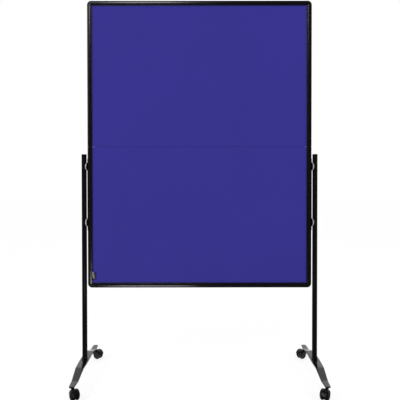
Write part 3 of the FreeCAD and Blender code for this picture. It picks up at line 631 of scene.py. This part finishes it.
castorLook = {"wheelRadius": 0.025, "gapHalf": 0.008, "halfWidth": 0.021, "dome": 0.0108, "innerEdge": 0.0015,
              "dishRadius": 0.0136, "dishDepth": 0.002, "hubRadius": 0.0072, "axleRadius": 0.0042,
              "grooveAt": 0.0092, "grooveDepth": 0.0004, "fineEdge": 0.0003, "dishEdge": 0.0006,
              "hubEdge": 0.0009, "hubSunk": 0.0002, "hubCentre": 0.0004, "wheelSegments": 96,
              "spokes": 6, "spokeDepth": 0.0011, "spokeSoft": 0.001, "spokeSharp": 2.5, "spokeFrom": 0.004,
              "hoodGap": 0.0012, "hoodWall": 0.0025, "hoodRows": 49, "sideAngle": 35.0, "rearAngle": 12.0,
              "frontAngle": 178.0, "notchAngle": 53.0, "notchHalf": 0.0052, "notchSoft": 0.0012,
              "webHalf": 0.0075, "webRadii": (0.002, 0.006, 0.006, 0.004, 0.004, 0.003),
              "bossRadius": 0.009, "bossStep": 0.0012, "bossSegments": 64, "discRadius": 0.0212,
              "socketRadius": 0.0074, "socketBottom": 0.030, "socketTop": 0.0556, "socketEdge": 0.001,
              "flare": 0.0009, "flareFrom": 0.006, "flareTo": 0.004, "flareEdge": 0.0008,
              "socketSegments": 40}


def castorFrame(name):
    # axle and trailing directions come from the joints; gives the map of local points and the trail's length
    swivel = np.array(joints["castor_swivel_" + name]["pos_m"], float)
    axle = np.array(joints["wheel_spin_a_" + name]["pos_m"], float)
    cross = np.array(joints["wheel_spin_a_" + name]["axis"], float)
    trailing = np.array((axle[0] - swivel[0], axle[1] - swivel[1], 0.0))
    trail = float(np.linalg.norm(trailing))
    trailing = trailing / trail

    def aboutAxle(local):
        # local x along the trail, y along the axle, z up, all from the axle's middle
        level = axle + local[..., :1] * trailing + local[..., 1:2] * cross
        return level + local[..., 2:] * np.array((0, 0, 1.0))

    return aboutAxle, trail


def wheelProfile(look, end):
    # closed section of a domed wheel: inner face, tread with one groove, dome, dish and hub
    inner, outer = look["gapHalf"], look["halfWidth"]
    dish, depth = look["dishRadius"], look["dishDepth"]
    groove, deep = look["grooveAt"], look["grooveDepth"]
    tread, hub, face = look["wheelRadius"], look["hubRadius"], outer - look["hubSunk"]
    corners = [(look["axleRadius"], inner, look["fineEdge"]), (tread, inner, look["innerEdge"]),
               (tread, groove - deep, 0), (tread - deep, groove, 0), (tread, groove + deep, 0),
               (tread, outer, look["dome"]), (dish, outer, look["dishEdge"]),
               (dish - depth / 2, outer - depth, look["dishEdge"]),
               (hub + depth / 2, outer - depth, look["dishEdge"]), (hub, face, look["hubEdge"])]
    loop = roundedLoop(corners, 6)
    loop = np.concatenate((loop, [(look["hubCentre"], face), (0.0, face)]))
    start = np.array([(0.0, inner)])
    return np.concatenate((start, loop)) * np.array((1.0, end))


def makeWheel(name, letter, end):
    # the profile turned about the axle; its dish waves with a clipped cosine, one crest for each spoke
    aboutAxle = castorFrame(name)[0]
    look = castorLook
    profile = wheelProfile(look, end)
    turn = np.linspace(0, 2 * math.pi, look["wheelSegments"], endpoint=False)
    radius = np.repeat(profile[:, :1], len(turn), axis=1)
    along = np.repeat(profile[:, 1:], len(turn), axis=1)
    soft = look["spokeSoft"]
    inDish = np.clip((look["dishRadius"] - soft - radius) / soft, 0, 1)
    inDish = inDish * np.clip((radius - look["hubRadius"] - soft) / soft, 0, 1)
    inDish = inDish * (np.abs(along) > look["gapHalf"] + look["spokeFrom"])
    spoke = np.clip(np.cos(turn * look["spokes"]) * look["spokeSharp"], -1, 1)
    along = along + end * inDish * spoke * look["spokeDepth"] / 2
    local = np.stack((radius * np.cos(turn), along, radius * np.sin(turn)), axis=-1)
    wheel = gridSurface(aboutAxle(local), wrapColumns=True)
    ending = "%s_%s" % (letter, name)
    return addPiece("castor_roller_" + ending, [wheel], "wheel_" + ending, "castor_nylon",
                    ["castor_wheel_" + ending], sharpAngle=35.0)


def hoodSection(look, steps=7, rimSteps=7):
    # closed strip over both wheels: dome, flat crown and dome, out at the skin and back inside, round rims
    start = look["wheelRadius"] - look["dome"]
    crown = look["halfWidth"] - look["dome"]
    turn = np.radians(np.linspace(-look["sideAngle"], look["sideAngle"], 2 * steps))
    middle = look["dome"] + look["hoodGap"] + look["hoodWall"] / 2
    half = look["hoodWall"] / 2
    side = np.sign(turn) * crown

    def strip(radius):
        return np.stack((start + radius * np.cos(turn), side + radius * np.sin(turn)), axis=-1)

    def rim(sign):
        last = math.radians(sign * look["sideAngle"])
        swing = last + sign * np.linspace(0, math.pi, rimSteps)[1:-1]
        centre = np.array((start + middle * math.cos(last), sign * crown + middle * math.sin(last)))
        return centre + half * np.stack((np.cos(swing), np.sin(swing)), axis=-1)

    return np.concatenate((strip(middle + half), rim(1), strip(middle - half)[::-1], rim(-1)[::-1]))


def makeHood(name, locked):
    # the section swept about the axle from the rear ray to the front ray; a lock's notch lifts the rear ray
    aboutAxle, trail = castorFrame(name)
    look = castorLook
    section = hoodSection(look)
    soft = look["notchSoft"]
    notch = np.clip((look["notchHalf"] + soft - np.abs(section[:, 1])) / soft, 0, 1) if locked else 0
    rear = look["rearAngle"] + (look["notchAngle"] - look["rearAngle"]) * notch * np.ones(len(section))
    share = edgeCrowded(0, 1, look["hoodRows"])[:, None]
    angle = np.radians(rear + (look["frontAngle"] - rear) * share)
    local = np.stack((section[:, 0] * np.cos(angle), np.broadcast_to(section[:, 1], angle.shape),
                      section[:, 0] * np.sin(angle)), axis=-1)
    shell = gridSurface(aboutAxle(local), wrapColumns=True, caps=True)
    return [shell, makeFork(aboutAxle, trail, look), makeSocket(aboutAxle, trail, look),
            makeBoss(aboutAxle, look)]


def makeFork(aboutAxle, trail, look):
    # web between the wheels: its rounded outline carried across, drawn in a little at both faces
    low, high = look["socketBottom"] - look["wheelRadius"], look["wheelRadius"] + look["hoodGap"]
    front = -trail - look["socketRadius"]
    places = [(front, low), (0.0, -look["bossRadius"]), (look["bossRadius"], 0.0), (0.0, high),
              (front + 2 * look["socketRadius"], high - look["hoodWall"]), (front, high - look["hoodWall"])]
    loop = roundedLoop([(x, z, radius) for (x, z), radius in zip(places, look["webRadii"])])
    middle = loop.mean(axis=0)
    shrink = np.array((0.955, 0.99, 1.0, 1.0, 0.99, 0.955))[:, None, None]
    along = look["webHalf"] * np.array((-1.0, -0.96, -0.88, 0.88, 0.96, 1.0))
    flat = middle + (loop - middle) * shrink
    local = np.stack((flat[..., 0], np.repeat(along[:, None], len(loop), axis=1), flat[..., 1]), axis=-1)
    return gridSurface(aboutAxle(local), wrapColumns=True, caps=True)


def makeSocket(aboutAxle, trail, look):
    # turned sleeve round the stem, flared at its top rim
    bottom, top = look["socketBottom"] - look["wheelRadius"], look["socketTop"] - look["wheelRadius"]
    radius, edge = look["socketRadius"], look["socketEdge"]
    wide = radius + look["flare"]
    profile = np.array([(0, bottom), (radius - edge, bottom), (radius, bottom + edge),
                        (radius, top - look["flareFrom"]), (wide, top - look["flareTo"]),
                        (wide, top - look["flareEdge"]), (radius, top), (0, top)])
    turn = np.linspace(0, 2 * math.pi, look["socketSegments"], endpoint=False)
    local = np.stack((profile[:, :1] * np.cos(turn) - trail, profile[:, :1] * np.sin(turn),
                      np.repeat(profile[:, 1:], len(turn), axis=1)), axis=-1)
    return gridSurface(aboutAxle(local), wrapColumns=True)


def makeBoss(aboutAxle, look):
    # round middle of the housing, between the wheels: stepped faces and a rounded rim, turned about the axle
    half, boss, disc = look["webHalf"], look["bossRadius"], look["discRadius"]
    step, fine = look["bossStep"], look["fineEdge"]
    side = roundedLoop([(boss, half, fine), (boss + step, half - step, fine), (disc, half - step, step * 2),
                        (disc, step - half, step * 2), (boss + step, step - half, fine),
                        (boss, -half, fine)])
    profile = np.concatenate(([(0.0, half)], side, [(0.0, -half)]))
    return revolve(profile, aboutAxle, look["bossSegments"])


pedalLook = {"pivot": 0.0195, "angle": 35.0, "eye": 0.0042, "arm": 0.003, "armHalf": 0.004, "start": 0.0306,
             "end": 0.034, "width": 0.009, "length": 0.0065, "edge": 0.0012, "armBack": 0.001,
             "armEdge": 0.0008, "eyeSegments": 32}


def makePedal(name):
    # eye round the pivot, arm, and a rounded tread across its end
    aboutAxle = castorFrame(name)[0]
    look = pedalLook
    turn = math.radians(look["angle"])
    out = np.array((math.cos(turn), 0, math.sin(turn)))
    over = np.array((-math.sin(turn), 0, math.cos(turn)))
    cross = np.array((0, 1.0, 0))

    def bar(start, end, halfCross, halfOver, edge):
        into = np.sin(np.linspace(0, math.pi / 2, 5))
        along = np.concatenate((start + edge * (1 - into[::-1]), end - edge * (1 - into)))
        inset = edge * (1 - np.sqrt(1 - np.concatenate((into[::-1], into)) ** 2))
        centres = along[:, None] * out
        frameOf = (np.tile(cross, (len(along), 1)), np.tile(over, (len(along), 1)))
        points, faces = carrySection(centres, *frameOf, halfCross - inset, halfOver - inset,
                                     np.full(len(along), edge))
        return aboutAxle(points), faces

    centre = out * look["pivot"]
    eyeTurn = np.linspace(0, 2 * math.pi, look["eyeSegments"], endpoint=False)
    rim = np.array([(0, -1.0), (0.85, -1.0), (1.0, -0.85), (1.0, 0.85), (0.85, 1.0), (0, 1.0)])
    ring = np.stack((rim[:, :1] * look["eye"] * np.cos(eyeTurn) + centre[0],
                     np.repeat(rim[:, 1:] * look["armHalf"], len(eyeTurn), axis=1),
                     rim[:, :1] * look["eye"] * np.sin(eyeTurn) + centre[2]), axis=-1)
    parts = [gridSurface(aboutAxle(ring), wrapColumns=True),
             bar(look["pivot"], look["end"] - look["armBack"], look["armHalf"], look["arm"], look["armEdge"]),
             bar(look["start"], look["end"], look["width"], look["length"], look["edge"])]
    return addPiece("lock_pedal_" + name, parts, "lever_" + name, "castor_nylon", ["castor_lever_" + name])


for name in ("front_left", "front_right", "rear_left", "rear_right"):
    for letter, end in (("a", -1), ("b", 1)):
        makeWheel(name, letter, end)
    hoodParts = makeHood(name, name.startswith("front"))
    addPiece("castor_hood_" + name, hoodParts, "castor_" + name, "castor_nylon", ["castor_housing_" + name])
    if name.startswith("front"):
        makePedal(name)
print("castors: four, two of them with lock pedals")


# Bare tab: a small domed moulding beside the lower left rail, with a grey plate on it whose pale colour is a
# painted highlight streak

tabLook = {"left": -0.5765, "right": -0.5560, "low": 0.5255, "high": 0.5625, "proud": 0.0036, "corner": 0.006,
           "railCorner": 0.002, "back": -0.0004, "edge": 0.0012}
tabHighlightPlate = {"left": -0.5725, "right": -0.5620, "low": 0.5285, "high": 0.5645, "proud": 0.0062, "lean": 0.0045,
            "corner": 0.0045, "back": 0.0008, "edge": 0.0034}
tabDome = {"cornerSteps": 8, "start": 0.12, "rows": 12}


def domedPlate(corners, look):
    # rounded outline raised to a low dome: an upright edge, then a quarter ellipse up to the middle
    back, edge, proud = look["back"], look["edge"], look["proud"]
    loop = roundedLoop(corners, tabDome["cornerSteps"])
    middle = loop.mean(axis=0)
    swing = np.linspace(tabDome["start"], math.pi / 2, tabDome["rows"])
    share = np.concatenate(([1.0, 1.0], np.cos(swing)))
    rise = np.concatenate(([back, edge], edge + (proud - edge) * np.sin(swing)))
    flat = middle + (loop - middle) * share[:, None, None]
    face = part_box("front_felt_lower")[0].y
    depth = np.repeat((face - rise)[:, None], len(loop), axis=1)
    points = np.stack((flat[..., 0], depth, flat[..., 1]), axis=-1)
    return gridSurface(points, wrapColumns=True, caps=True)


def makeTab(look, plate):
    # black foot of the tab, and a bare grey plate on it that leans to the left at its top; the plate's grey
    # is a painted highlight streak
    beside, corner = look["railCorner"], look["corner"]
    foot = domedPlate([(look["left"], look["low"], beside), (look["right"], look["low"], corner),
                       (look["right"], look["high"], corner), (look["left"], look["high"], beside)], look)
    addPiece("edge_tab", [foot], "stand", "moulded_black")
    lean, corner = plate["lean"], plate["corner"]
    shell = domedPlate([(plate["left"], plate["low"], corner), (plate["right"], plate["low"], corner),
                        (plate["right"] - lean, plate["high"], corner),
                        (plate["left"] - lean, plate["high"], corner)], plate)
    piece = addPiece("edge_tab_highlight_plate", [shell], "stand", "zinc_steel")
    piece.data.materials[0] = steelMaterial("tabPaintedHighlight", tabHighlightPlateLook)


makeTab(tabLook, tabHighlightPlate)
print("tab: one, with its plate")


# Stage: pale floor, soft lamps, camera at the photograph's place

stageLook = {"floorHalf": 14.0, "floorLevel": -0.0005, "floorColour": (0.80, 0.80, 0.80, 1),
             "shadowColour": (0.26, 0.26, 0.26, 1), "ownShare": 0.80, "ambient": 0.72, "frontLevel": 0.03,
             "darkFrom": 0.0, "whiteFrom": 0.5, "floorDarkFrom": -0.5, "floorWhiteFrom": 0.3}


def mixShader(tree, factor, first, second):
    node = tree.nodes.new("ShaderNodeMixShader")
    for socket, value in zip(node.inputs, (factor, first, second)):
        tree.links.new(value, socket)
    return node.outputs["Shader"]


def makeFloor(look):
    half = look["floorHalf"]
    corner = np.array((-half, half))
    x, y = np.meshgrid(corner, corner)
    points, faces = gridSurface(np.stack((x, y, np.full_like(x, look["floorLevel"])), axis=-1))
    mesh = bpy.data.meshes.new("studio_floor")
    mesh.from_pydata(points.tolist(), [], faces)
    floor = bpy.data.objects.new("studio_floor", mesh)
    bpy.context.scene.collection.objects.link(floor)
    material = bpy.data.materials.new("paleFloor")
    material.use_nodes = True
    tree = material.node_tree
    tree.nodes.clear()
    output = tree.nodes.new("ShaderNodeOutputMaterial")
    path = tree.nodes.new("ShaderNodeLightPath")
    plain = addNode(tree, "ShaderNodeBsdfDiffuse", Color=look["floorColour"])
    shadowed = addNode(tree, "ShaderNodeBsdfDiffuse", Color=look["shadowColour"])
    glow = addNode(tree, "ShaderNodeEmission", Strength=look["ownShare"])
    shown = tree.nodes.new("ShaderNodeAddShader")
    tree.links.new(shadowed.outputs["BSDF"], shown.inputs[0])
    tree.links.new(glow.outputs["Emission"], shown.inputs[1])
    spot = addNode(tree, "ShaderNodeSeparateXYZ")
    tree.links.new(addNode(tree, "ShaderNodeNewGeometry").outputs["Position"], spot.inputs["Vector"])
    mirrored = tree.nodes.new("ShaderNodeEmission")
    tree.links.new(addRamp(tree, spot.outputs["Y"], look["floorDarkFrom"], look["floorWhiteFrom"],
                           look["frontLevel"], 1.0), mirrored.inputs["Strength"])
    glossy = addMath(tree, "MAXIMUM", path.outputs["Is Glossy Ray"], path.outputs["Is Transmission Ray"])
    inGloss = mixShader(tree, glossy, plain.outputs["BSDF"], mirrored.outputs["Emission"])
    seen = mixShader(tree, path.outputs["Is Camera Ray"], inGloss, shown.outputs["Shader"])
    tree.links.new(seen, output.inputs["Surface"])
    mesh.materials.append(material)


def makeWorld(look):
    # white all round for the camera; glossy rays see the room's darker front end; the rest is soft light
    world = bpy.data.worlds.new("softStudio")
    bpy.context.scene.world = world
    world.use_nodes = True
    tree = world.node_tree
    tree.nodes.clear()
    output = tree.nodes.new("ShaderNodeOutputWorld")
    path = tree.nodes.new("ShaderNodeLightPath")
    direction = addNode(tree, "ShaderNodeSeparateXYZ")
    tree.links.new(addNode(tree, "ShaderNodeTexCoord").outputs["Generated"], direction.inputs["Vector"])
    backness = addRamp(tree, direction.outputs["Y"], look["darkFrom"], look["whiteFrom"],
                       look["frontLevel"], 1.0)
    ambient = addNode(tree, "ShaderNodeBackground", Strength=look["ambient"])
    mirrored = addNode(tree, "ShaderNodeBackground")
    tree.links.new(backness, mirrored.inputs["Strength"])
    white = addNode(tree, "ShaderNodeBackground", Strength=1.0)
    for node in (ambient, mirrored, white):
        node.inputs["Color"].default_value = (1, 1, 1, 1)
    glossy = addMath(tree, "MAXIMUM", path.outputs["Is Glossy Ray"], path.outputs["Is Transmission Ray"])
    unseen = mixShader(tree, glossy, ambient.outputs["Background"], mirrored.outputs["Background"])
    seen = mixShader(tree, path.outputs["Is Camera Ray"], unseen, white.outputs["Background"])
    tree.links.new(seen, output.inputs["Surface"])


lamps = {"key": {"place": (-3.2, -2.6, 2.4), "aim": (0, 0, 1.7), "size": (2.0, 2.0), "power": 54.0},
         "fill": {"place": (3.2, -2.6, 2.2), "aim": (0, 0, 1.7), "size": (2.0, 2.0), "power": 45.0,
                  "inGloss": False},
         "stripHigh": {"place": (-0.63, -2.9, 3.05), "aim": (0, 0, 1.9), "size": (0.84, 0.6), "power": 21.0,
                       "inDiffuse": False},
         "stripLow": {"place": (-0.40, -1.2, 0.193), "aim": (-0.40, 0, 0.49), "size": (0.62, 0.1),
                      "power": 3.0, "inDiffuse": False}}


def makeLamp(name, look):
    light = bpy.data.lights.new(name, "AREA")
    light.shape = "RECTANGLE"
    light.size, light.size_y = look["size"]
    light.energy = look["power"]
    lamp = bpy.data.objects.new(name, light)
    bpy.context.scene.collection.objects.link(lamp)
    lamp.location = look["place"]
    lamp.visible_camera = False
    lamp.visible_glossy = look.get("inGloss", True)        # the fill gives no highlights
    lamp.visible_diffuse = look.get("inDiffuse", True)     # the strips give highlights alone
    lamp.rotation_euler = (Vector(look["aim"]) - Vector(look["place"])).to_track_quat("-Z", "Y").to_euler()


cameraLook = {"place": (-0.0014, -2.5492, 1.1251), "pitch": -0.78, "yaw": 0.0, "roll": 0.05,
              "lens": 42.70, "sensor": 36.0, "shiftX": 0.0018, "shiftY": -0.0649, "clipEnd": 200.0}


def makeCamera(look):
    camera = bpy.data.cameras.new("photo_camera")
    camera.lens = look["lens"]
    camera.sensor_width = look["sensor"]
    camera.shift_x = look["shiftX"]
    camera.shift_y = look["shiftY"]
    camera.clip_end = look["clipEnd"]
    viewer = bpy.data.objects.new("photo_camera", camera)
    bpy.context.scene.collection.objects.link(viewer)
    viewer.location = look["place"]
    viewer.rotation_euler = [math.radians(angle) for angle in (90 + look["pitch"], look["roll"], look["yaw"])]
    bpy.context.scene.camera = viewer


makeFloor(stageLook)
makeWorld(stageLook)
for lampName, lampLook in lamps.items():
    makeLamp(lampName, lampLook)
makeCamera(cameraLook)
bpy.context.scene.view_settings.view_transform = "Standard"
print("stage: floor, world,", len(lamps), "lamps, camera")
